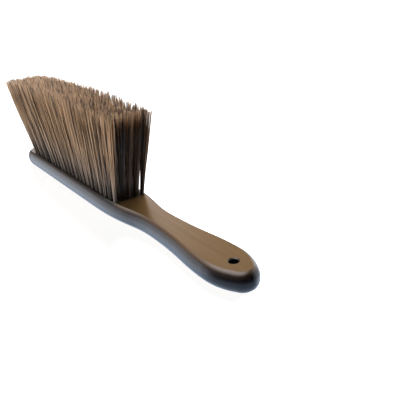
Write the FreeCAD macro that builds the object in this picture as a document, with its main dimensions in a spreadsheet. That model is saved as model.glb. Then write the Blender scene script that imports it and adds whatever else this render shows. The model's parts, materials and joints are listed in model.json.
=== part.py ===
import FreeCAD, Part
import math
import os
import Sketcher

# Hand broom: a one-piece wooden stock, filled with ranks of bristle tufts that anchor wires hold.
# Millimetres. X runs from the handle end to the head end, Y across, Z up through the bristles.
# The origin is the middle of the flat back, on which the broom lies.

RANKS = 23
ROWS = 5

# Share of the run from grip to neck, and from neck to shoulder, where the side turns from full to hollow.
GRIP_TURN_SHARE = 0.35
SHOULDER_TURN_SHARE = 0.31
# An edge rounding takes at most this share of the board's thickness.
EDGE_LIMIT_SHARE = 0.48
# Share of the bristle height at which a tuft has spread to nearly its full width.
SWELL_HEIGHT_SHARE = 0.45
# Shares of the run from first to last rank: where the arch of the tips is highest, and its half width.
ARCH_CENTRE_SHARE = 0.53
ARCH_REACH_SHARE = 0.42
# Power of the arch: it is flatter on top and steeper at its ends than a parabola.
ARCH_POWER = 4
# A cut that should go through removes at least this share of the volume it is meant to.
CUT_CHECK_SHARE = 0.98

# Numbers of the outline's pieces in its sketch, of a piece's points, and of the sketch's X axis and origin.
OUTLINE_PIECES = 9
(NOSE, GRIP_FRONT, GRIP_BACK, NECK_FRONT, NECK_BACK,
 SHOULDER, SIDE, HEAD, CENTRE_LINE) = range(OUTLINE_PIECES)
POINT_COUNT = 3
START, END, CENTRE = range(1, POINT_COUNT + 1)
X_AXIS, ORIGIN = -1, -1

NO_TURN = "rotation(0; 0; 0)"

# The board before its face is planed.
BOARD_THICKNESS = "(Sizes.stock_thickness + Sizes.face_planing)"
BOARD_WIDTH = "max(Sizes.grip_width; Sizes.block_width; Sizes.head_width)"

# Two numbers closer than this are the same.
TOLERANCE = 1e-6

SIZES = (
    ("stock_length", 340.0, "handle end to head end"),
    ("stock_thickness", 14.2, "flat back to bristle face"),
    ("nose_radius", 9.8, "rounding of the handle end in plan"),
    ("grip_station", 28.0, "handle end to the widest place of the grip"),
    ("grip_width", 30.2, "widest place of the grip"),
    ("neck_station", 98.0, "handle end to the narrowest place of the neck"),
    ("neck_width", 21.2, "narrowest place of the neck"),
    ("shoulder_station", 169.0, "handle end to the start of the block's straight side"),
    ("block_width", 34.9, "block where its straight side starts"),
    ("head_width", 36.6, "block where its rounded head starts, and twice the head's radius"),
    ("face_edge_radius", 7.0, "rounding along the bristle face"),
    ("face_planing", 0.95, "planed off the rounded board, which leaves a crease round the bristle face"),
    ("back_edge_radius", 6.5, "rounding along the flat back"),
    ("hang_station", 17.0, "handle end to the hanging hole"),
    ("hang_diameter", 6.0, "hanging hole"),
    ("hang_countersink", 0.6, "bevel at both mouths of the hanging hole"),
    ("first_rank_station", 142.0, "handle end to the first rank of tufts"),
    ("head_margin", 22.5, "last rank of tufts to the head end"),
    ("tuft_hole_diameter", 3.2, "drilled tuft hole"),
    ("tuft_hole_depth", 8.0, "drilled tuft hole along its axis"),
    ("row_web", 2.3, "wood left between neighbouring holes of one rank"),
    ("bristle_height", 65.8, "bristle face to the tips of the shortest ranks"),
    ("tip_arch", 3.6, "rise of the longest ranks over the shortest, at their tips"),
    ("handle_flare", 17.9, "lean of the first rank at its tips, towards the handle"),
    ("head_flare", 34.6, "lean of the last rank at its tips, past the head"),
    ("side_flare", 2.6, "lean of the outer rows at their tips, outwards"),
    ("flare_start", 1.2, "straight length of a tuft above the face, along its axis"),
    ("swell_gap", 0.8, "space between tufts where they have spread"),
    ("tip_gap", 0.4, "space between tufts at their tips"),
    ("tuft_clearance", 0.1, "tuft root to the wall and floor of its hole"),
    ("anchor_bite", 0.4, "anchor wire into the wood beyond the hole, each side"),
    ("anchor_thickness", 0.6, "flat anchor wire"),
    ("anchor_height", 2.2, "flat anchor wire along the hole"),
    ("anchor_clearance", 0.05, "anchor wire to its seat, all round"),
    ("fold_height", 1.2, "floor of the hole to the anchor wire, over the fold of the tuft"),
    ("overrun", 3.0, "drill or plane past the wood it cuts"),
)


def add_size_sheet(doc):
    """Spreadsheet of the driving sizes, one alias per size."""
    sheet = doc.addObject("Spreadsheet::Sheet", "Sizes")
    for line, (alias, value, meaning) in enumerate(SIZES, start=1):
        sheet.set(f"A{line}", meaning)
        sheet.set(f"B{line}", str(value))
        sheet.setAlias(f"B{line}", alias)
    doc.recompute()
    return sheet


def origin_plane(body, role):
    """One of the body's own origin planes."""
    return next(plane for plane in body.Origin.OriginFeatures if plane.Role == role)


def add_plan_sketch(body, name):
    """Sketch on the body's XY plane, which is the flat back."""
    sketch = body.newObject("Sketcher::SketchObject", name)
    sketch.AttachmentSupport = [(origin_plane(body, "XY_Plane"), "")]
    sketch.MapMode = "FlatFace"
    return sketch


def drive(sketch, kind, places, expression, start_value):
    """Adds a dimension to a sketch and binds it to the sheet."""
    index = sketch.addConstraint(Sketcher.Constraint(kind, *places, start_value))
    sketch.setExpression(f"Constraints[{index}]", expression)


def arc(centre_x, centre_y, radius, first_angle, last_angle):
    """Arc of a circle in plan, counter-clockwise from the first angle to the last."""
    centre = FreeCAD.Vector(centre_x, centre_y, 0)
    circle = Part.Circle(centre, FreeCAD.Vector(0, 0, 1), radius)
    return Part.ArcOfCircle(circle, first_angle, last_angle)


def side_geometry(sheet):
    """Arcs and lines of one side of the outline, in the order of their numbers."""
    tip_x = -sheet.stock_length / 2
    head_x = sheet.stock_length / 2
    up = math.pi / 2
    back = math.pi
    down = 3 * math.pi / 2
    nose = sheet.nose_radius
    nose_x = tip_x + nose
    grip_x = tip_x + sheet.grip_station
    grip_y = sheet.grip_width / 2
    neck_x = tip_x + sheet.neck_station
    neck_y = sheet.neck_width / 2
    shoulder_x = tip_x + sheet.shoulder_station
    shoulder_y = sheet.block_width / 2
    head = sheet.head_width / 2

    front = ((grip_x - nose_x) ** 2 + grip_y ** 2 - nose ** 2) / (2 * (grip_y - nose))
    nose_angle = math.atan2(front - grip_y, nose_x - grip_x)

    waist_drop = grip_y - neck_y
    waist_radii = ((neck_x - grip_x) ** 2 + waist_drop ** 2) / (2 * waist_drop)
    grip_back = GRIP_TURN_SHARE * waist_radii
    neck_front = waist_radii - grip_back
    waist_angle = math.atan2(neck_y + neck_front - grip_y + grip_back, neck_x - grip_x)

    block_rise = shoulder_y - neck_y
    block_radii = ((shoulder_x - neck_x) ** 2 + block_rise ** 2) / (2 * block_rise)
    neck_back = SHOULDER_TURN_SHARE * block_radii
    shoulder = block_radii - neck_back
    rise_angle = math.atan2(shoulder_y - shoulder - neck_y - neck_back, shoulder_x - neck_x)

    side_start = FreeCAD.Vector(shoulder_x, shoulder_y, 0)
    side_end = FreeCAD.Vector(head_x - head, head, 0)
    return [
        arc(nose_x, 0, nose, nose_angle, back),
        arc(grip_x, grip_y - front, front, up, nose_angle),
        arc(grip_x, grip_y - grip_back, grip_back, waist_angle, up),
        arc(neck_x, neck_y + neck_front, neck_front, waist_angle + back, down),
        arc(neck_x, neck_y + neck_back, neck_back, down, rise_angle + 2 * back),
        arc(shoulder_x, shoulder_y - shoulder, shoulder, up, rise_angle + back),
        Part.LineSegment(side_start, side_end),
        arc(head_x - head, 0, head, 0, up),
        Part.LineSegment(FreeCAD.Vector(head_x, 0, 0), FreeCAD.Vector(tip_x, 0, 0)),
    ]


def add_outline(body, sheet):
    """Half of the stock's outline: tangent arcs from handle end to head, closed on the centre line."""
    sketch = add_plan_sketch(body, "Outline")
    sketch.addGeometry(side_geometry(sheet), False)
    smooth_joins = (
        (NOSE, START, GRIP_FRONT, END),
        (GRIP_FRONT, START, GRIP_BACK, END),
        (GRIP_BACK, START, NECK_FRONT, START),
        (NECK_FRONT, END, NECK_BACK, START),
        (NECK_BACK, END, SHOULDER, END),
        (SHOULDER, START, SIDE, START),
        (SIDE, END, HEAD, END),
    )
    for places in smooth_joins:
        sketch.addConstraint(Sketcher.Constraint("Tangent", *places))
    for places in ((HEAD, START, CENTRE_LINE, START), (CENTRE_LINE, END, NOSE, END)):
        sketch.addConstraint(Sketcher.Constraint("Coincident", *places))
    for places in ((NOSE, CENTRE), (HEAD, CENTRE), (CENTRE_LINE, START)):
        sketch.addConstraint(Sketcher.Constraint("PointOnObject", *places, X_AXIS))
    ends = (CENTRE_LINE, START, CENTRE_LINE, END)
    sketch.addConstraint(Sketcher.Constraint("Symmetric", *ends, ORIGIN, START))
    for places in ((GRIP_FRONT, CENTRE, GRIP_FRONT, START), (NECK_FRONT, CENTRE, NECK_FRONT, END)):
        sketch.addConstraint(Sketcher.Constraint("Vertical", *places))

    tip = (CENTRE_LINE, END)
    grip = (GRIP_FRONT, START)
    waist = (GRIP_BACK, START)
    neck = (NECK_FRONT, END)
    rise = (NECK_BACK, END)
    shoulder = (SIDE, START)
    to_waist = sheet.neck_station - sheet.grip_station
    to_block = sheet.shoulder_station - sheet.neck_station
    stations = (
        (tip, (CENTRE_LINE, START), "Sizes.stock_length", sheet.stock_length),
        (tip, grip, "Sizes.grip_station", sheet.grip_station),
        (tip, neck, "Sizes.neck_station", sheet.neck_station),
        (tip, shoulder, "Sizes.shoulder_station", sheet.shoulder_station),
        (grip, waist, f"{GRIP_TURN_SHARE} * (Sizes.neck_station - Sizes.grip_station)",
         GRIP_TURN_SHARE * to_waist),
        (neck, rise, f"{SHOULDER_TURN_SHARE} * (Sizes.shoulder_station - Sizes.neck_station)",
         SHOULDER_TURN_SHARE * to_block),
    )
    for first, last, expression, value in stations:
        drive(sketch, "DistanceX", first + last, expression, value)
    half_widths = (
        (grip, "Sizes.grip_width / 2", sheet.grip_width / 2),
        (neck, "Sizes.neck_width / 2", sheet.neck_width / 2),
        (shoulder, "Sizes.block_width / 2", sheet.block_width / 2),
    )
    for place, expression, value in half_widths:
        drive(sketch, "DistanceY", (ORIGIN, START) + place, expression, value)
    drive(sketch, "Radius", (NOSE,), "Sizes.nose_radius", sheet.nose_radius)
    drive(sketch, "Radius", (HEAD,), "Sizes.head_width / 2", sheet.head_width / 2)
    return sketch


def level_face(shape, normal_z):
    """Name of the flat face whose outward normal is straight up or straight down."""
    for index, face in enumerate(shape.Faces, start=1):
        flat = isinstance(face.Surface, Part.Plane)
        if flat and face.normalAt(0, 0).z * normal_z > 1 - TOLERANCE:
            return f"Face{index}"
    raise RuntimeError("no level face found")


def round_edges(body, base, normal_z, name, size):
    """Rounds the whole rim of one level face."""
    fillet = body.newObject("PartDesign::Fillet", name)
    fillet.Base = (base, [level_face(base.Shape, normal_z)])
    fillet.setExpression("Radius", f"min(Sizes.{size}; {EDGE_LIMIT_SHARE} * {BOARD_THICKNESS})")
    body.Document.recompute()
    return fillet


def plane_face(body, base):
    """Planes the rounded board down to its thickness, so that a crease borders the bristle face."""
    plane = body.newObject("PartDesign::SubtractiveBox", "PlanedFace")
    plane.AttachmentSupport = [(origin_plane(body, "XY_Plane"), "")]
    plane.MapMode = "FlatFace"
    corner_x = "-Sizes.stock_length / 2 - Sizes.overrun"
    corner_y = f"-{BOARD_WIDTH} / 2 - Sizes.overrun"
    corner = f"vector({corner_x}; {corner_y}; Sizes.stock_thickness)"
    plane.setExpression("AttachmentOffset", f"placement({corner}; {NO_TURN})")
    plane.setExpression("Length", "Sizes.stock_length + 2 * Sizes.overrun")
    plane.setExpression("Width", f"{BOARD_WIDTH} + 2 * Sizes.overrun")
    plane.setExpression("Height", "Sizes.face_planing + Sizes.overrun")
    body.Document.recompute()
    if not plane.Shape.Volume < base.Shape.Volume:
        raise RuntimeError("the bristle face was not planed")
    return plane


def drill_hanging_hole(body, base, sheet):
    """Hanging hole through the handle end, bevelled at both mouths."""
    sketch = add_plan_sketch(body, "HangingHolePlan")
    centre = FreeCAD.Vector(sheet.hang_station - sheet.stock_length / 2, 0, 0)
    circle = Part.Circle(centre, FreeCAD.Vector(0, 0, 1), sheet.hang_diameter / 2)
    hole = sketch.addGeometry(circle, False)
    sketch.addConstraint(Sketcher.Constraint("PointOnObject", hole, CENTRE, X_AXIS))
    drive(sketch, "DistanceX", (ORIGIN, START, hole, CENTRE),
          "Sizes.hang_station - Sizes.stock_length / 2", centre.x)
    drive(sketch, "Diameter", (hole,), "Sizes.hang_diameter", sheet.hang_diameter)
    pocket = body.newObject("PartDesign::Pocket", "HangingHole")
    pocket.Profile = sketch
    pocket.Type = "ThroughAll"
    pocket.Reversed = True
    body.Document.recompute()
    bored = math.pi * (sheet.hang_diameter / 2) ** 2 * sheet.stock_thickness
    if base.Shape.Volume - pocket.Shape.Volume < CUT_CHECK_SHARE * bored:
        raise RuntimeError("the hanging hole was not cut")

    rims = []
    for index, edge in enumerate(pocket.Shape.Edges, start=1):
        radius = getattr(edge.Curve, "Radius", 0)
        if edge.Closed and abs(radius - sheet.hang_diameter / 2) < TOLERANCE:
            rims.append(f"Edge{index}")
    bevel = body.newObject("PartDesign::Chamfer", "HangingHoleBevel")
    bevel.Base = (pocket, rims)
    bevel.setExpression("Size", "Sizes.hang_countersink")
    body.Document.recompute()


def add_stock_blank(doc, sheet):
    """Stock before its tuft holes are drilled."""
    body = doc.addObject("PartDesign::Body", "StockBlank")
    body.Label = "stock_blank"
    pad = body.newObject("PartDesign::Pad", "HalfBoard")
    pad.Profile = add_outline(body, sheet)
    pad.setExpression("Length", BOARD_THICKNESS)
    doc.recompute()
    board = body.newObject("PartDesign::Mirrored", "WholeBoard")
    board.Originals = [pad]
    board.MirrorPlane = (origin_plane(body, "XZ_Plane"), [""])
    body.Tip = board
    doc.recompute()
    face_rounded = round_edges(body, board, 1, "FaceEdge", "face_edge_radius")
    all_rounded = round_edges(body, face_rounded, -1, "BackEdge", "back_edge_radius")
    planed = plane_face(body, all_rounded)
    drill_hanging_hole(body, planed, sheet)
    return body


# Expressions shared by the tufts, their holes and their anchor wires.
FIELD_LENGTH = "(Sizes.stock_length - Sizes.head_margin - Sizes.first_rank_station)"
RANK_PITCH = f"({FIELD_LENGTH} / {RANKS - 1})"
ROW_PITCH = "(Sizes.tuft_hole_diameter + Sizes.row_web)"
RANK_SPREAD = f"((Sizes.handle_flare + Sizes.head_flare) / {RANKS - 1})"
ROW_SPREAD = f"(2 * Sizes.side_flare / {ROWS - 1})"
FLOOR_DEPTH = "(-Sizes.tuft_hole_depth)"


class TuftPlace:
    """Where one tuft leaves the bristle face and how far it leans, as expressions of the sheet."""

    def __init__(self, rank, row):
        middle_row = (ROWS - 1) / 2
        row_share = (row - middle_row) / middle_row
        from_arch = (rank / (RANKS - 1) - ARCH_CENTRE_SHARE) / ARCH_REACH_SHARE
        arch_share = max(0, 1 - from_arch ** ARCH_POWER)
        self.name = f"{rank + 1:02d}_{row + 1}"
        self.x = f"(Sizes.first_rank_station - Sizes.stock_length / 2 + {rank} * {RANK_PITCH})"
        self.y = f"({row - middle_row} * {ROW_PITCH})"
        self.slope_x = f"(({rank} * {RANK_SPREAD} - Sizes.handle_flare) / Sizes.bristle_height)"
        self.slope_y = f"({row_share} * Sizes.side_flare / Sizes.bristle_height)"
        self.tip_share = f"(1 + {arch_share} * Sizes.tip_arch / Sizes.bristle_height)"

    def on_axis(self, shift_x, shift_y, shift_z):
        """Placement in the leaning frame of the hole, whose origin is at the hole's mouth."""
        mouth = f"vector({self.x}; {self.y}; Sizes.stock_thickness)"
        lean = f"atan({self.slope_x})"
        roll = f"-atan({self.slope_y} * cos({lean}))"
        shift = f"placement(vector({shift_x}; {shift_y}; {shift_z}); {NO_TURN})"
        return f"placement({mouth}; rotation(0; {lean}; {roll})) * {shift}"

    def level(self, height):
        """Level placement on the tuft's axis, at a height above the bristle face."""
        centre_x = f"{self.x} + {self.slope_x} * {height}"
        centre_y = f"{self.y} + {self.slope_y} * {height}"
        return f"placement(vector({centre_x}; {centre_y}; Sizes.stock_thickness + {height}); {NO_TURN})"


def add_shape(doc, kind, name, **expressions):
    """Primitive whose properties are all bound to the sheet."""
    shape = doc.addObject(kind, name)
    for prop, expression in expressions.items():
        shape.setExpression(prop, expression)
    return shape


def add_drill(doc, place):
    """Cylinder that drills one tuft hole."""
    return add_shape(
        doc, "Part::Cylinder", f"Drill_{place.name}",
        Radius="Sizes.tuft_hole_diameter / 2",
        Height="Sizes.tuft_hole_depth + Sizes.overrun",
        Placement=place.on_axis("0", "0", FLOOR_DEPTH),
    )


def add_anchor(doc, place, name, room):
    """Flat wire across the fold of a tuft, or with room around it the seat that it bites into."""
    length = f"(Sizes.tuft_hole_diameter + 2 * Sizes.anchor_bite + 2 * {room})"
    width = f"(Sizes.anchor_thickness + 2 * {room})"
    bottom = f"({FLOOR_DEPTH} + Sizes.fold_height - {room})"
    return add_shape(
        doc, "Part::Box", f"{name}_{place.name}",
        Length=length,
        Width=width,
        Height=f"Sizes.anchor_height + 2 * {room}",
        Placement=place.on_axis(f"(-{length} / 2)", f"(-{width} / 2)", bottom),
    )


def add_section(doc, place, name, height_share, gap):
    """Level oval section of a tuft, which fills its share of the field but for the gap."""
    along = f"({RANK_PITCH} + {height_share} * {RANK_SPREAD} - Sizes.{gap}) / 2"
    across = f"({ROW_PITCH} + {height_share} * {ROW_SPREAD} - Sizes.{gap}) / 2"
    return add_shape(
        doc, "Part::Ellipse", f"{name}_{place.name}",
        MajorRadius=along,
        MinorRadius=across,
        Placement=place.level(f"{height_share} * Sizes.bristle_height"),
    )


def add_tuft(doc, place, seat):
    """Tuft: straight root in its hole, spreading to trimmed tips, with a window for the anchor wire."""
    root_radius = "Sizes.tuft_hole_diameter / 2 - Sizes.tuft_clearance"
    root_bottom = f"({FLOOR_DEPTH} + Sizes.tuft_clearance)"
    rings = []
    for name, height in (("Root", root_bottom), ("Mouth", "Sizes.flare_start")):
        ring = add_shape(
            doc, "Part::Circle", f"{name}_{place.name}",
            Radius=root_radius,
            Placement=place.on_axis("0", "0", height),
        )
        rings.append(ring)
    swell = add_section(doc, place, "Swell", SWELL_HEIGHT_SHARE, "swell_gap")
    tips = add_section(doc, place, "Tips", place.tip_share, "tip_gap")
    bundle = doc.addObject("Part::Loft", f"Bundle_{place.name}")
    bundle.Sections = rings + [swell, tips]
    bundle.Solid = True
    bundle.Ruled = True
    tuft = doc.addObject("Part::Cut", f"Tuft_{place.name}")
    tuft.Base = bundle
    tuft.Tool = seat
    return tuft


def add_group(doc, label, members):
    """Several separate solids under one name."""
    group = doc.addObject("Part::Compound", label)
    group.Label = label
    group.Links = members
    return group


def add_drilled_stock(doc, blank, drills, seats):
    """Stock with its tuft holes, and with the bites of the anchor wires in their walls."""
    drilled = doc.addObject("Part::Cut", "DrilledStock")
    drilled.Base = blank
    drilled.Tool = add_group(doc, "drills", drills)
    stock = doc.addObject("Part::Cut", "Stock")
    stock.Base = drilled
    stock.Tool = add_group(doc, "anchor_seats", seats)
    stock.Label = "stock"
    doc.recompute()
    if not blank.Shape.Volume > drilled.Shape.Volume > stock.Shape.Volume:
        raise RuntimeError("the tuft holes or the anchor seats were not cut")
    return stock


def check(doc, nodes):
    """Stops if an object failed, or if a node's shape is empty, broken or has too few solids."""
    for item in doc.Objects:
        if "Invalid" in item.State or "Error" in item.State:
            raise RuntimeError(f"{item.Label} failed: {item.State}")
    for node, solids in nodes:
        if node.Shape.isNull() or not node.Shape.isValid():
            raise RuntimeError(f"{node.Label} has no valid shape")
        if len(node.Shape.Solids) != solids:
            raise RuntimeError(f"{node.Label} has {len(node.Shape.Solids)} solids, not {solids}")


def build():
    """Builds the broom and writes one file per node."""
    doc = FreeCAD.newDocument("HandBroom")
    sheet = add_size_sheet(doc)
    blank = add_stock_blank(doc, sheet)
    drills = []
    seats = []
    nodes = []
    for rank in range(RANKS):
        tufts = []
        anchors = []
        for row in range(ROWS):
            place = TuftPlace(rank, row)
            seat = add_anchor(doc, place, "Seat", "Sizes.anchor_clearance")
            drills.append(add_drill(doc, place))
            seats.append(seat)
            tufts.append(add_tuft(doc, place, seat))
            anchors.append(add_anchor(doc, place, "Anchor", "0"))
        nodes.append((add_group(doc, f"tuft_rank_{rank + 1:02d}", tufts), ROWS))
        nodes.append((add_group(doc, f"anchor_rank_{rank + 1:02d}", anchors), ROWS))
    doc.recompute()
    nodes.append((add_drilled_stock(doc, blank, drills, seats), 1))
    check(doc, nodes)
    os.makedirs("parts", exist_ok=True)
    for node, solids in nodes:
        node.Shape.exportStep(f"parts/{node.Label}.step")
        print(node.Label, solids, "solids", round(node.Shape.Volume, 1), "mm3")


build()
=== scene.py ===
"""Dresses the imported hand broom: stained stock, filament tufts, anchor wires, studio and camera."""

import json
import logging
import math
from dataclasses import dataclass
from enum import Enum
from typing import Any

import bmesh
import bpy
import numpy as np
from mathutils import Matrix, Vector


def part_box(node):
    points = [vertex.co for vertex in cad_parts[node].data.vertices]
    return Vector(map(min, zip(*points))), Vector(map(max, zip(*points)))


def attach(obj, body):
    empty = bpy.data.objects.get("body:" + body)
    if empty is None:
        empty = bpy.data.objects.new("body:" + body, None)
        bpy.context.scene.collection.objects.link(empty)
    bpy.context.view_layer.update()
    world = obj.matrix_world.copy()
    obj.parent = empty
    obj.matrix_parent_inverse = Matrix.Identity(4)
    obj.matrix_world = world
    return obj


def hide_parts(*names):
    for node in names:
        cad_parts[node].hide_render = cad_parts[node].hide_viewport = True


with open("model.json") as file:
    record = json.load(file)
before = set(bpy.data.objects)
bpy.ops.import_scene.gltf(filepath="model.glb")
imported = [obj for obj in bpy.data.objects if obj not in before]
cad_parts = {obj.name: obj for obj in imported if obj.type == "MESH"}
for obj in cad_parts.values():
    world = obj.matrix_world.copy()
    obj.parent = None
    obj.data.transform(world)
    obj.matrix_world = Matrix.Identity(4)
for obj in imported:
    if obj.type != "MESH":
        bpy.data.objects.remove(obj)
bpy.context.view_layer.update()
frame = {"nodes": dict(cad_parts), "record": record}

MM = 0.001
# Numbers of the Mix node's colour sockets, because its sockets for other types have the same names.
MIX_A, MIX_B, MIXED = 6, 7, 2
log = logging.getLogger("hand_broom")


class Slot(Enum):
    """Material slots of the record that the pieces take their finish from."""

    WOOD = "stained_wood"
    BRISTLE = "bristle"
    WIRE = "anchor_wire"


def linear(hex_colour: str) -> tuple[float, float, float, float]:
    """Turns an sRGB hex colour into the linear colour that shaders take.

    Args:
        hex_colour: six hex digits, without a sign in front.

    Returns:
        Linear red, green, blue and an alpha of one.
    """
    channels = [int(hex_colour[i:i + 2], 16) / 255 for i in (0, 2, 4)]
    red, green, blue = [
        c / 12.92 if c <= 0.04045 else ((c + 0.055) / 1.055) ** 2.4 for c in channels
    ]
    return red, green, blue, 1.0


def add_node(
    material: bpy.types.ID, kind: str, inputs: dict[str | int, Any] | None = None, **settings: Any
) -> bpy.types.Node:
    """Adds a shader node with its settings, values and links.

    Args:
        material: the material or world whose tree gets the node.
        kind: Blender's name of the node type.
        inputs: value, or output socket to link, by input name or number.
        settings: properties of the node itself.

    Returns:
        The new node.
    """
    tree = material.node_tree
    node = tree.nodes.new(kind)
    for name, value in settings.items():
        setattr(node, name, value)
    for name, value in (inputs or {}).items():
        if isinstance(value, bpy.types.NodeSocket):
            tree.links.new(value, node.inputs[name])
        else:
            node.inputs[name].default_value = value
    return node


def set_stops(ramp: bpy.types.Node, stops: tuple[tuple[float, str], ...]) -> bpy.types.Node:
    """Gives a colour ramp its stops.

    Args:
        ramp: a colour ramp node, which starts with two stops.
        stops: place and sRGB hex colour of each stop, in order.

    Returns:
        The same node.
    """
    elements = ramp.color_ramp.elements
    elements.remove(elements[1])
    elements[0].position, first_colour = stops[0]
    elements[0].color = linear(first_colour)
    for place, colour in stops[1:]:
        elements.new(place).color = linear(colour)
    return ramp


def new_material(name: str) -> bpy.types.Material:
    """Makes an empty node material.

    Args:
        name: the material's name.

    Returns:
        The material, with no nodes in it.
    """
    material = bpy.data.materials.new(name)
    material.use_nodes = True
    material.node_tree.nodes.clear()
    return material


def close_material(material: bpy.types.Material, shader: bpy.types.Node) -> bpy.types.Material:
    """Links a shader to the material's output, and returns the material."""
    add_node(material, "ShaderNodeOutputMaterial", {"Surface": shader.outputs[0]})
    return material


def nodes_in(slot: Slot) -> list[str]:
    """Names of the CAD nodes that take their finish from a slot."""
    return [part["node"] for part in frame["record"]["subparts"] if part["material_slot"] == slot.value]


def dress_node(node: str, material: bpy.types.Material) -> None:
    """Puts one material on every slot of a CAD node."""
    for slot in frame["nodes"][node].material_slots:
        slot.material = material


@dataclass(frozen=True)
class StainedBeech:
    """Beech board, walnut-stained, sanded along the grain and sealed with satin lacquer.

    The stain sinks deeper into soft grain, so the face shows long soft streaks. The crease and sides are
    painted darker the further they turn from upright, to nearly black: partly stain in the cut sides,
    partly painted shade. Handling has worn the crease to a warmer brown. Among the tufts the wood is
    painted dark as shade under the bristles. The lacquer gives a broad milky sheen at low angles.
    """

    streak_shades: tuple[tuple[float, str], ...] = ((0.32, "614a2b"), (0.52, "674e2e"), (0.72, "6e5432"))
    streak_length_mm: float = 60.0
    streak_width_mm: float = 2.6
    streak_detail: float = 5.0
    streak_waviness: float = 0.4
    fleck_shade: str = "614a2b"
    fleck_range: tuple[float, float] = (0.56, 0.74)
    fleck_length_mm: float = 3.0
    # Beech rays are about 0.2 mm wide, which is drawn coarser to show at the size of the picture.
    fleck_width_mm: float = 0.5
    fleck_detail: float = 2.0
    fleck_depth: float = 0.4
    # Places of these shades, and of the face, are the upright part of the surface's normal: the sides are
    # painted darker the more they turn from upright, partly stain and partly painted shade.
    edge_stain_and_shade: tuple[tuple[float, str], ...] = ((0.2, "0a080a"), (0.6, "221914"), (0.86, "59432c"))
    face_range: tuple[float, float] = (0.88, 0.99)
    # Painted shade on the wood among the tufts, where the bristles shade it, in a box with soft sides.
    tuft_field_painted_shade: str = "14110d"
    field_centre_mm: tuple[float, float, float] = (66.0, 0.0, 14.2)
    field_half_mm: tuple[float, float, float] = (90.0, 14.0, 1.0)
    field_fade_mm: tuple[float, float, float] = (14.0, 3.5, 4.0)
    pore_depth_mm: float = 0.2
    pore_strength: float = 0.12
    smooth_roughness: float = 0.42
    open_roughness: float = 0.6
    wood_specular: float = 0.1
    lacquer_weight: float = 1.0
    lacquer_roughness: float = 0.24

    def material(self) -> bpy.types.Material:
        """Builds the material.

        Returns:
            The stained and lacquered wood.
        """
        wood = new_material("beech_walnut_stained_satin_lacquer")
        place = add_node(wood, "ShaderNodeTexCoord").outputs["Object"]
        streaks, flecks = [
            add_node(wood, "ShaderNodeTexNoise", {
                "Vector": add_node(wood, "ShaderNodeMapping", {
                    "Vector": place, "Scale": (1 / (length * MM), 1 / (width * MM), 1 / (width * MM)),
                }).outputs[0],
                "Scale": 1.0, "Detail": detail, "Distortion": waviness,
            }).outputs[0]
            for length, width, detail, waviness in (
                (self.streak_length_mm, self.streak_width_mm, self.streak_detail, self.streak_waviness),
                (self.fleck_length_mm, self.fleck_width_mm, self.fleck_detail, 0.0),
            )
        ]
        tones = set_stops(add_node(wood, "ShaderNodeValToRGB", {"Fac": streaks}), self.streak_shades)
        fleck_start, fleck_full = self.fleck_range
        fleck_share = add_node(wood, "ShaderNodeMapRange", {
            "Value": flecks, "From Min": fleck_start, "From Max": fleck_full, "To Max": self.fleck_depth,
        })
        grained = add_node(wood, "ShaderNodeMix", {
            "Factor": fleck_share.outputs[0], MIX_A: tones.outputs[0], MIX_B: linear(self.fleck_shade),
        }, data_type="RGBA")
        # Painted shade: the wood among the tufts is darkened towards the painted shade colour.
        shaded = add_node(wood, "ShaderNodeMix", {
            "Factor": self.field_share(wood, place), MIX_A: self.stain_and_shade_edges(wood, grained.outputs[MIXED]),
            MIX_B: linear(self.tuft_field_painted_shade),
        }, data_type="RGBA")
        openness = add_node(wood, "ShaderNodeMapRange", {
            "Value": flecks, "To Min": self.smooth_roughness, "To Max": self.open_roughness,
        })
        pores = add_node(wood, "ShaderNodeBump", {
            "Height": flecks, "Strength": self.pore_strength, "Distance": self.pore_depth_mm * MM,
        })
        shader = add_node(wood, "ShaderNodeBsdfPrincipled", {
            "Base Color": shaded.outputs[MIXED], "Roughness": openness.outputs[0],
            "Normal": pores.outputs[0], "Specular IOR Level": self.wood_specular,
            "Coat Weight": self.lacquer_weight, "Coat Roughness": self.lacquer_roughness,
        })
        return close_material(wood, shader)

    def stain_and_shade_edges(self, wood: bpy.types.Material, face: bpy.types.NodeSocket) -> bpy.types.NodeSocket:
        """Puts the worn crease and the darker sides round the face: partly stain, partly painted shade by
        how far the surface turns from upright.

        Args:
            wood: the material.
            face: colour of the face.

        Returns:
            Colour of the face, the crease and the sides.
        """
        normal = add_node(wood, "ShaderNodeNewGeometry").outputs["Normal"]
        upright = add_node(wood, "ShaderNodeSeparateXYZ", {"Vector": normal}).outputs["Z"]
        level = add_node(wood, "ShaderNodeMath", {0: upright}, operation="ABSOLUTE").outputs[0]
        edge = set_stops(add_node(wood, "ShaderNodeValToRGB", {"Fac": level}), self.edge_stain_and_shade)
        face_start, face_full = self.face_range
        face_share = add_node(wood, "ShaderNodeMapRange", {
            "Value": level, "From Min": face_start, "From Max": face_full,
        }, interpolation_type="SMOOTHSTEP")
        return add_node(wood, "ShaderNodeMix", {
            "Factor": face_share.outputs[0], MIX_A: edge.outputs[0], MIX_B: face,
        }, data_type="RGBA").outputs[MIXED]

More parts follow.
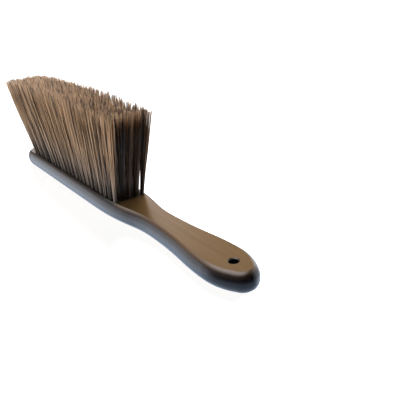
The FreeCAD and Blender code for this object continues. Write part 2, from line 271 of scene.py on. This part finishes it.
    def field_share(self, wood: bpy.types.Material, place: bpy.types.NodeSocket) -> bpy.types.NodeSocket:
        """Finds the wood among the tufts, where shade is painted, as a box with soft sides.

        Args:
            wood: the material.
            place: the surface's own coordinates.

        Returns:
            One among the tufts, which fades to nothing around them.
        """
        centre = [size * MM for size in self.field_centre_mm]
        away = add_node(wood, "ShaderNodeVectorMath", {0: place, 1: centre}, operation="SUBTRACT")
        away = add_node(wood, "ShaderNodeVectorMath", {0: away.outputs[0]}, operation="ABSOLUTE")
        distances = add_node(wood, "ShaderNodeSeparateXYZ", {"Vector": away.outputs[0]}).outputs
        share = 1.0
        for distance, half, fade in zip(distances, self.field_half_mm, self.field_fade_mm):
            near = add_node(wood, "ShaderNodeMapRange", {
                "Value": distance, "From Min": (half + fade) * MM, "From Max": half * MM,
            }, interpolation_type="SMOOTHSTEP")
            share = add_node(
                wood, "ShaderNodeMath", {0: share, 1: near.outputs[0]}, operation="MULTIPLY"
            ).outputs[0]
        return share


@dataclass(frozen=True)
class PolyesterFilament:
    """Crimp-free polyester filament, extruded, dyed brown and flagged to soft points.

    Single filaments differ in shade, so a tuft shows tan, grey-brown and dark streaks. The drawn surface
    gives each filament a dull gloss. Grey roots turn to brown, partly the dye and partly painted shade low
    in the tufts; the feet are darkened further as painted shade, and the worn tips are palest.
    """

    root_shades: tuple[tuple[float, str], ...] = (
        (0.0, "151314"), (0.35, "6c615a"), (0.7, "a09186"), (1.0, "c8b6a8"),
    )
    tip_shades: tuple[tuple[float, str], ...] = (
        (0.0, "3c3028"), (0.35, "967d66"), (0.7, "b9997a"), (1.0, "d9b793"),
    )
    # Shares of the length between which grey turns to brown, and between which the painted shade at the
    # feet fades out.
    grey_share: float = 0.05
    brown_share: float = 0.65
    foot_share: float = 0.08
    painted_shade_end_share: float = 0.28
    foot_painted_shade: float = 0.28
    roughness: float = 0.45

    def material(self) -> bpy.types.Material:
        """Builds the material.

        Returns:
            The filament, whose map runs across the shades and from root to tip.
        """
        filament = new_material("polyester_filament_extruded_brown")
        place = add_node(filament, "ShaderNodeUVMap", uv_map=TuftField.MAP_NAME).outputs["UV"]
        split = add_node(filament, "ShaderNodeSeparateXYZ", {"Vector": place})
        root, tip = [
            set_stops(add_node(filament, "ShaderNodeValToRGB", {"Fac": split.outputs["X"]}), shades)
            for shades in (self.root_shades, self.tip_shades)
        ]
        browning = add_node(filament, "ShaderNodeMapRange", {
            "Value": split.outputs["Y"], "From Min": self.grey_share, "From Max": self.brown_share,
        }, interpolation_type="SMOOTHSTEP")
        colour = add_node(filament, "ShaderNodeMix", {
            "Factor": browning.outputs[0], MIX_A: root.outputs[0], MIX_B: tip.outputs[0],
        }, data_type="RGBA")
        # Painted shade at the feet: the colour is darkened towards the root.
        foot_shading = add_node(filament, "ShaderNodeMapRange", {
            "Value": split.outputs["Y"], "From Min": self.foot_share, "From Max": self.painted_shade_end_share,
            "To Min": self.foot_painted_shade,
        })
        foot_shaded = add_node(filament, "ShaderNodeVectorMath", {
            0: colour.outputs[MIXED], "Scale": foot_shading.outputs[0],
        }, operation="SCALE")
        shader = add_node(filament, "ShaderNodeBsdfPrincipled", {
            "Base Color": foot_shaded.outputs[0], "Roughness": self.roughness,
        })
        return close_material(filament, shader)


@dataclass(frozen=True)
class DrawnSteelWire:
    """Flat steel wire, drawn through a die and zinc-coated.

    Drawing leaves fine lines along the wire, and the zinc dulls them to a grey gloss.
    """

    zinc: str = "b9bbbd"
    line_length_mm: float = 3.0
    line_width_mm: float = 0.1
    line_detail: float = 3.0
    smooth_roughness: float = 0.28
    line_roughness: float = 0.52

    def material(self) -> bpy.types.Material:
        """Builds the material.

        Returns:
            The drawn wire.
        """
        wire = new_material("steel_wire_drawn_zinc_coated")
        place = add_node(wire, "ShaderNodeTexCoord").outputs["Object"]
        along = 1 / (self.line_length_mm * MM)
        across = 1 / (self.line_width_mm * MM)
        stretched = add_node(
            wire, "ShaderNodeMapping", {"Vector": place, "Scale": (along, across, across)}
        )
        lines = add_node(wire, "ShaderNodeTexNoise", {
            "Vector": stretched.outputs[0], "Scale": 1.0, "Detail": self.line_detail,
        })
        dullness = add_node(wire, "ShaderNodeMapRange", {
            "Value": lines.outputs[0], "To Min": self.smooth_roughness, "To Max": self.line_roughness,
        })
        shader = add_node(wire, "ShaderNodeBsdfPrincipled", {
            "Base Color": linear(self.zinc), "Metallic": 1.0, "Roughness": dullness.outputs[0],
        })
        return close_material(wire, shader)


@dataclass(frozen=True)
class SweepPaper:
    """Seamless studio paper, matte white, lit from below as well so that the shadow on it stays faint."""

    sheet: str = "f4f4f3"
    glow: float = 0.9

    def material(self) -> bpy.types.Material:
        """Builds the material.

        Returns:
            The paper.
        """
        paper = new_material("studio_paper_matte")
        shader = add_node(paper, "ShaderNodeBsdfPrincipled", {
            "Base Color": linear(self.sheet), "Roughness": 1.0, "Specular IOR Level": 0.0,
            "Emission Color": linear(self.sheet), "Emission Strength": self.glow,
        })
        return close_material(paper, shader)


@dataclass
class Stock:
    """The one-piece wooden stock, a CAD node that keeps its shape."""

    finish: StainedBeech

    def dress(self) -> None:
        """Gives the CAD node its wood."""
        material = self.finish.material()
        for node in nodes_in(Slot.WOOD):
            dress_node(node, material)
            log.info("%s: stained and lacquered", node)


@dataclass
class AnchorWires:
    """The flat wires that hold the tufts in their holes, CAD nodes that keep their shape."""

    finish: DrawnSteelWire

    def dress(self) -> None:
        """Gives the CAD nodes their steel."""
        material = self.finish.material()
        for node in nodes_in(Slot.WIRE):
            dress_node(node, material)
            log.info("%s: drawn steel", node)


@dataclass
class Bundle:
    """The filaments of one rank, with one entry of each array for each filament.

    Places and leans are shares of a tuft's radius, and trims are shares of its height.
    """

    row: np.ndarray
    lock_centre: np.ndarray
    from_centre: np.ndarray
    tip_shift: np.ndarray
    trim: np.ndarray
    shade: np.ndarray
    spin: np.ndarray


@dataclass
class TuftField:
    """The tufts, one piece of separate filaments for each rank. Sizes are in millimetres.

    A tuft leaves its hole as a tight round bundle. It fans out until it presses square against its
    neighbours, while its filaments draw together into locks, which open a little at their pointed tips.
    """

    MAP_NAME = "OFBake"
    GOLDEN_ANGLE = math.pi * (3 - math.sqrt(5))

    finish: PolyesterFilament
    # Where the tufts stand, and how far the outer ones lean out, as in the CAD model.
    rows: int = 5
    first_rank_x: float = -28.0
    last_rank_x: float = 147.5
    row_pitch: float = 5.5
    handle_flare: float = 17.9
    head_flare: float = 34.6
    side_flare: float = 2.6
    flare_height: float = 65.8
    # A tuft's root and its filaments, with rings at shares of their length.
    root_depth: float = 4.4
    root_radius: float = 1.42
    filaments: int = 190
    filament_radius: float = 0.17
    filament_sides: int = 3
    tip_taper: float = 0.5
    taper_power: int = 3
    ring_shares: tuple[float, ...] = (0.08, 0.2, 0.36, 0.55, 0.78)
    # How a tuft swells, as shares of its height and of its part of the field.
    swell_height_share: float = 0.6
    swell_width_share: float = 0.75
    swell_power: float = 0.5
    overlap: float = 1.1
    squareness: float = 0.45
    # How the filaments of a tuft gather into locks at shares of its height.
    locks: int = 28
    lock_heights: tuple[float, ...] = (0.0, 0.35, 0.75, 1.0)
    lock_widths: tuple[float, ...] = (1.0, 0.44, 0.34, 0.5)
    lock_lean: float = 0.1
    lock_point: float = 0.045
    lock_unevenness: float = 0.03
    # How tips differ in length, as shares of a tuft's height.
    wear: float = 0.008
    most_wear: float = 0.05
    over_length: float = 0.02
    # How many filaments are loose, and how far filaments stray, as shares of a tuft's radius.
    loose_filaments: float = 0.04
    loose_lean: float = 0.25
    filament_lean: float = 0.04
    lean_power: int = 2
    # Shades of locks and filaments, from 0 for the darkest to 1 for the palest.
    lock_shade_range: tuple[float, float] = (0.3, 1.0)
    dark_locks: float = 0.25
    dark_shade: float = 0.0
    shade_spread: float = 0.12
    # A filament's strip on the map.
    strip_width: float = 1 / 64
    map_margin: float = 0.02
    seed: int = 5

    def build(self) -> None:
        """Makes every rank and lets it stand for its CAD node."""
        material = self.finish.material()
        template = self.filament_template()
        nodes = nodes_in(Slot.BRISTLE)
        for rank, node in enumerate(nodes):
            piece = self.rank_piece(rank, node, template)
            piece.data.materials.append(material)
            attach(piece, "root")
            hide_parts(node)
            log.info("%s: %d filaments", piece.name, self.rows * self.filaments)
        bpy.data.meshes.remove(template)

    def filament_template(self) -> bpy.types.Mesh:
        """Makes one straight filament of unit radius and height, cut into rings and mapped.

        Returns:
            The mesh that every filament is a copy of.
        """
        bm = bmesh.new()
        bmesh.ops.create_cone(
            bm, cap_ends=True, segments=self.filament_sides, radius1=1, radius2=1, depth=1
        )
        bmesh.ops.translate(bm, verts=bm.verts, vec=(0, 0, 0.5))
        for share in self.ring_shares:
            bmesh.ops.bisect_plane(
                bm, geom=bm.verts[:] + bm.edges[:] + bm.faces[:],
                plane_co=(0, 0, share), plane_no=(0, 0, 1),
            )
        layer = bm.loops.layers.uv.new(self.MAP_NAME)
        span = 1 - 2 * self.map_margin
        for face in bm.faces:
            is_cap = abs(face.normal.z) > 0.5
            face.smooth = not is_cap
            for loop in face.loops:
                x, y, z = loop.vert.co
                # The caps get a little height on the map too, so that no face of it is empty.
                height = self.map_margin + span * z + self.map_margin * y / 2
                loop[layer].uv = (self.strip_width * (1 + x) / 2, height)
        mesh = bpy.data.meshes.new("filament")
        bm.to_mesh(mesh)
        bm.free()
        return mesh

    def rank_piece(self, rank: int, node: str, template: bpy.types.Mesh) -> bpy.types.Object:
        """Makes the filaments of one rank.

        Args:
            rank: number of the rank, from 0 at the handle side.
            node: the CAD node whose place the filaments take.
            template: the mesh of one filament.

        Returns:
            The new object, linked to the scene.
        """
        count = self.rows * self.filaments
        bm = bmesh.new()
        for _ in range(count):
            bm.from_mesh(template)
        mesh = bpy.data.meshes.new(node.replace("tuft", "bristle"))
        bm.to_mesh(mesh)
        bm.free()

        shape = np.empty(len(template.vertices) * 3)
        template.vertices.foreach_get("co", shape)
        bundle = self.gather(np.random.default_rng((self.seed, rank)))
        places = self.bend(rank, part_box(node)[1].z / MM, bundle, shape.reshape(-1, 3))
        mesh.vertices.foreach_set("co", (places * MM).ravel())
        uv = np.empty(len(mesh.loops) * 2, np.float32)
        layer = mesh.uv_layers[self.MAP_NAME].data
        layer.foreach_get("uv", uv)
        uv = uv.reshape(count, -1, 2)
        uv[:, :, 0] += ((1 - self.strip_width) * bundle.shade)[:, None]
        layer.foreach_set("uv", uv.ravel())
        mesh.update()
        piece = bpy.data.objects.new(mesh.name, mesh)
        bpy.context.scene.collection.objects.link(piece)
        return piece

    def gather(self, rng: np.random.Generator) -> Bundle:
        """Draws the filaments of one rank and gathers them into locks.

        Args:
            rng: seeded source of the differences between filaments.

        Returns:
            The bundle.
        """
        count = self.rows * self.filaments
        row = np.repeat(np.arange(self.rows), self.filaments)
        angle = rng.uniform(0, 2 * math.pi, count)
        reach = np.sqrt(rng.uniform(0, 1, count))
        root = np.stack([reach * np.cos(angle), reach * np.sin(angle)], 1)

        number = np.arange(self.locks)
        turn = number * self.GOLDEN_ANGLE + rng.uniform(0, 2 * math.pi, (self.rows, 1))
        lock_reach = np.sqrt((number + 0.5) / self.locks)
        centres = np.stack([lock_reach * np.cos(turn), lock_reach * np.sin(turn)], 2)
        lock = np.linalg.norm(root[:, None] - centres[row], axis=2).argmin(1)
        from_centre = root - centres[row, lock]

        each_lock = (self.rows, self.locks)
        lean = rng.normal(0, self.lock_lean, (*each_lock, 2))[row, lock]
        loose = rng.uniform(0, 1, (count, 1)) < self.loose_filaments
        lean += np.where(loose, self.loose_lean, self.filament_lean) * rng.normal(0, 1, (count, 2))
        trim = rng.uniform(-self.lock_unevenness, self.lock_unevenness, each_lock)[row, lock]
        trim += self.lock_point * self.locks * (from_centre ** 2).sum(1)
        trim += np.minimum(rng.exponential(self.wear, count), self.most_wear)
        shade = rng.uniform(*self.lock_shade_range, each_lock)
        shade[rng.uniform(0, 1, each_lock) < self.dark_locks] = self.dark_shade
        shade = np.clip(shade[row, lock] + rng.normal(0, self.shade_spread, count), 0, 1)
        spin = rng.uniform(0, 2 * math.pi, (count, 1))
        return Bundle(row, centres[row, lock], from_centre, lean, trim, shade, spin)

    def bend(self, rank: int, tip_height: float, bundle: Bundle, shape: np.ndarray) -> np.ndarray:
        """Bends the copies of the filament along their paths.

        Args:
            rank: number of the rank, from 0 at the handle side.
            tip_height: height of the rank's tips.
            bundle: the rank's filaments.
            shape: vertices of the straight filament.

        Returns:
            Vertices of all filaments, in millimetres.
        """
        face_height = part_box(nodes_in(Slot.WOOD)[0])[1].z / MM
        middle = (self.rows - 1) / 2
        last_rank = len(nodes_in(Slot.BRISTLE)) - 1
        rank_share = rank / last_rank
        field_length = self.last_rank_x - self.first_rank_x
        flare = self.handle_flare + self.head_flare
        mouth_x = self.first_rank_x + rank_share * field_length
        mouth_y = ((bundle.row - middle) * self.row_pitch)[:, None]
        slope_x = (rank_share * flare - self.handle_flare) / self.flare_height
        slope_y = ((bundle.row - middle) / middle * self.side_flare / self.flare_height)[:, None]

        height = tip_height - face_height
        length = height * (1 + self.over_length - bundle.trim) + self.root_depth
        above = shape[:, 2] * length[:, None] - self.root_depth
        rise = np.clip(above / height, 0, 1)
        spread = np.interp(
            rise, (0, self.swell_height_share, 1), (0, self.swell_width_share, 1)
        ) * np.clip(rise / self.swell_height_share, 0, 1) ** self.swell_power
        half_length = self.overlap * (field_length + flare) / last_rank / 2
        half_width = self.overlap * (self.row_pitch + self.side_flare / middle) / 2
        drawn = np.interp(rise, self.lock_heights, self.lock_widths)
        centre, apart, lean = bundle.lock_centre, bundle.from_centre, bundle.tip_shift
        to_corner = np.linalg.norm(centre, axis=1) / np.abs(centre).max(1) - 1
        pressed = 1 + self.squareness * to_corner[:, None] * spread
        strayed = rise ** self.lean_power
        offsets = [
            (centre[:, [axis]] * pressed + apart[:, [axis]] * drawn + lean[:, [axis]] * strayed)
            * (self.root_radius + spread * (half - self.root_radius))
            for axis, half in enumerate((half_length, half_width))
        ]
        thickness = self.filament_radius * (1 - self.tip_taper * rise ** self.taper_power)
        cosine, sine = np.cos(bundle.spin), np.sin(bundle.spin)
        ring_x = thickness * (shape[:, 0] * cosine - shape[:, 1] * sine)
        ring_y = thickness * (shape[:, 0] * sine + shape[:, 1] * cosine)
        return np.stack([
            mouth_x + slope_x * above + offsets[0] + ring_x,
            mouth_y + slope_y * above + offsets[1] + ring_y,
            face_height + above,
        ], 2)


@dataclass(frozen=True)
class SoftPatch:
    """A soft bright part of the surround: where it is, how it fades in, how bright it is and its tint.

    Start and full are cosines of the angle from its middle.
    """

    towards: tuple[float, float, float]
    start: float
    full: float
    brightness: float
    tint: str


@dataclass(frozen=True)
class SoftSun:
    """A soft light from far away: where it comes from, its strength and how wide it looks."""

    towards: tuple[float, float, float]
    strength: float
    angle_degrees: float


@dataclass
class Studio:
    """Paper floor, soft lights and the camera. Places are in millimetres."""

    paper: SweepPaper
    floor_side: float = 40000.0
    floor_gap: float = 0.2
    camera_place: tuple[float, float, float] = (-355.24, 147.97, 160.99)
    camera_forward: tuple[float, float, float] = (0.77233, -0.49525, -0.39779)
    camera_roll_degrees: float = -5.39
    lens_mm: float = 46.82
    side_light: SoftSun = SoftSun((0.16, 1.0, 0.08), 4.8, 5.0)
    window: SoftSun = SoftSun((0.46, -0.46, 0.76), 4.2, 35.0)
    rim_light: SoftSun = SoftSun((-0.06, -0.97, 0.2), 1.9, 20.0)
    fill: str = "28282f"
    backing: str = "ffffff"
    # What shows in the lacquer alone: a dim room with bright parts.
    dim_side: str = "0d0d0e"
    backdrop: SoftPatch = SoftPatch((0.9, -0.3, 0.3), 0.945, 0.99, 1.4, "fff0ea")
    left_side: SoftPatch = SoftPatch((0.8, 0.55, -0.1), 0.84, 0.97, 1.4, "eef4ff")
    top_box: SoftPatch = SoftPatch((0.2, 0.1, 0.97), 0.62, 0.95, 4.5, "f2f6ff")
    side_wall: SoftPatch = SoftPatch((0.0, -1.0, 0.0), 0.55, 0.9, 1.2, "eef4ff")
    far_ground: SoftPatch = SoftPatch((0.9, 0.08, -0.42), 0.94, 0.99, 0.25, "c8e0ff")
    ground: SoftPatch = SoftPatch((0.0, 0.0, -1.0), 0.1, 0.75, 1.12, "c8e0ff")

    def build(self) -> None:
        """Sets up floor, lights, surroundings and camera."""
        self.add_floor()
        self.add_lights()
        self.add_surround()
        self.add_camera()
        log.info("studio: floor, three lights, surround and camera")

    def add_floor(self) -> None:
        """Lays the paper under the broom."""
        bm = bmesh.new()
        bmesh.ops.create_grid(bm, x_segments=1, y_segments=1, size=self.floor_side * MM / 2)
        bmesh.ops.translate(bm, verts=bm.verts, vec=(0, 0, -self.floor_gap * MM))
        mesh = bpy.data.meshes.new("paper_floor")
        bm.to_mesh(mesh)
        bm.free()
        mesh.materials.append(self.paper.material())
        floor = bpy.data.objects.new("paper_floor", mesh)
        # The surround lights the broom from below too, so the paper is only there to be seen.
        floor.visible_diffuse = False
        floor.visible_glossy = False
        bpy.context.scene.collection.objects.link(floor)

    def add_lights(self) -> None:
        """Adds the light beside the near tufts, the window behind and the light on the far edge."""
        suns = {"side_light": self.side_light, "window": self.window, "rim_light": self.rim_light}
        for name, sun in suns.items():
            light = bpy.data.lights.new(name, "SUN")
            light.energy = sun.strength
            light.angle = math.radians(sun.angle_degrees)
            holder = bpy.data.objects.new(name, light)
            # The lacquer reflects the surround alone.
            holder.visible_glossy = False
            holder.matrix_world = Vector(sun.towards).to_track_quat("Z", "Y").to_matrix().to_4x4()
            bpy.context.scene.collection.objects.link(holder)

    def add_surround(self) -> None:
        """Adds the fill light, the room that shows in the lacquer and the white that the camera sees."""
        world = bpy.data.worlds.new("studio_surround")
        world.use_nodes = True
        world.node_tree.nodes.clear()
        towards = add_node(world, "ShaderNodeTexCoord").outputs["Generated"]
        light = add_node(world, "ShaderNodeRGB")
        light.outputs[0].default_value = linear(self.dim_side)
        patches = (
            self.backdrop, self.left_side, self.top_box, self.side_wall, self.far_ground, self.ground,
        )
        for patch in patches:
            cosine = add_node(world, "ShaderNodeVectorMath", {
                0: towards, 1: Vector(patch.towards).normalized(),
            }, operation="DOT_PRODUCT")
            share = add_node(world, "ShaderNodeMapRange", {
                "Value": cosine.outputs["Value"], "From Min": patch.start, "From Max": patch.full,
                "To Max": patch.brightness,
            }, interpolation_type="SMOOTHSTEP")
            glow = add_node(world, "ShaderNodeVectorMath", {
                0: linear(patch.tint)[:3], "Scale": share.outputs[0],
            }, operation="SCALE")
            light = add_node(world, "ShaderNodeVectorMath", {0: light.outputs[0], 1: glow.outputs[0]})
        rays = add_node(world, "ShaderNodeLightPath").outputs
        view = add_node(world, "ShaderNodeBackground", {"Color": linear(self.fill)})
        backing = linear(self.backing)
        for ray, colour in (("Is Glossy Ray", light.outputs[0]), ("Is Camera Ray", backing)):
            other = add_node(world, "ShaderNodeBackground", {"Color": colour})
            view = add_node(world, "ShaderNodeMixShader", {
                0: rays[ray], 1: view.outputs[0], 2: other.outputs[0],
            })
        add_node(world, "ShaderNodeOutputWorld", {"Surface": view.outputs[0]})
        bpy.context.scene.world = world
        bpy.context.scene.view_settings.view_transform = "Standard"

    def add_camera(self) -> None:
        """Adds the camera at the photograph's viewing angle."""
        lens = bpy.data.cameras.new("photo_camera")
        lens.lens = self.lens_mm
        lens.clip_start = MM
        lens.clip_end = self.floor_side * MM
        camera = bpy.data.objects.new("photo_camera", lens)
        turn = Vector(self.camera_forward).to_track_quat("-Z", "Y").to_matrix().to_4x4()
        roll = Matrix.Rotation(math.radians(self.camera_roll_degrees), 4, "Z")
        camera.matrix_world = Matrix.Translation(Vector(self.camera_place) * MM) @ turn @ roll
        bpy.context.scene.collection.objects.link(camera)
        bpy.context.scene.camera = camera


def main() -> None:
    """Builds the broom's looks piece by piece, then the studio."""
    logging.basicConfig(level=logging.INFO, format="%(message)s")
    Stock(StainedBeech()).dress()
    TuftField(PolyesterFilament()).build()
    AnchorWires(DrawnSteelWire()).dress()
    Studio(SweepPaper()).build()


if __name__ == "__main__":
    main()
